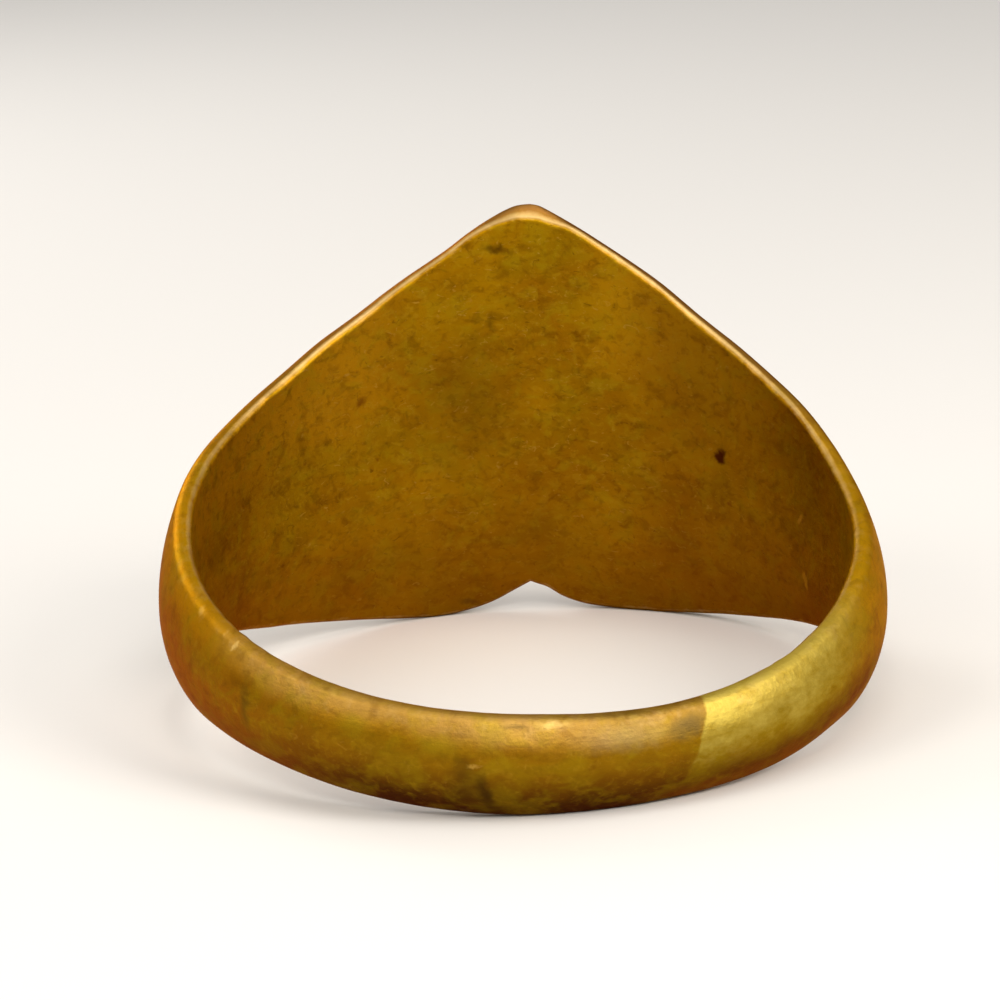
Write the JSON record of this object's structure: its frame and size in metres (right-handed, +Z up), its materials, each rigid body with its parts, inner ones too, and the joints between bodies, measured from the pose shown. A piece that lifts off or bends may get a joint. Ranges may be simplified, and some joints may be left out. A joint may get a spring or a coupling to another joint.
{
  "type": "sweetheart ring",
  "caption": "One-piece brass finger ring: a heart plate bent to the finger, tip up, tapering into a narrow domed shank, lying on its side.",
  "frame": {"origin": "on the ground under the middle of the ring's box, with the ring lying on its side", "axes": "+Z up; the heart's outer face looks along +Y with its tip up, the shank's back is at -Y, +X across the finger hole"},
  "size_m": [0.022, 0.0216, 0.0138],
  "materials": {
    "brass": "tarnished, worn satin"
  },
  "bodies": {
    "root": {"ring": "brass"}
  },
  "joints": []
}
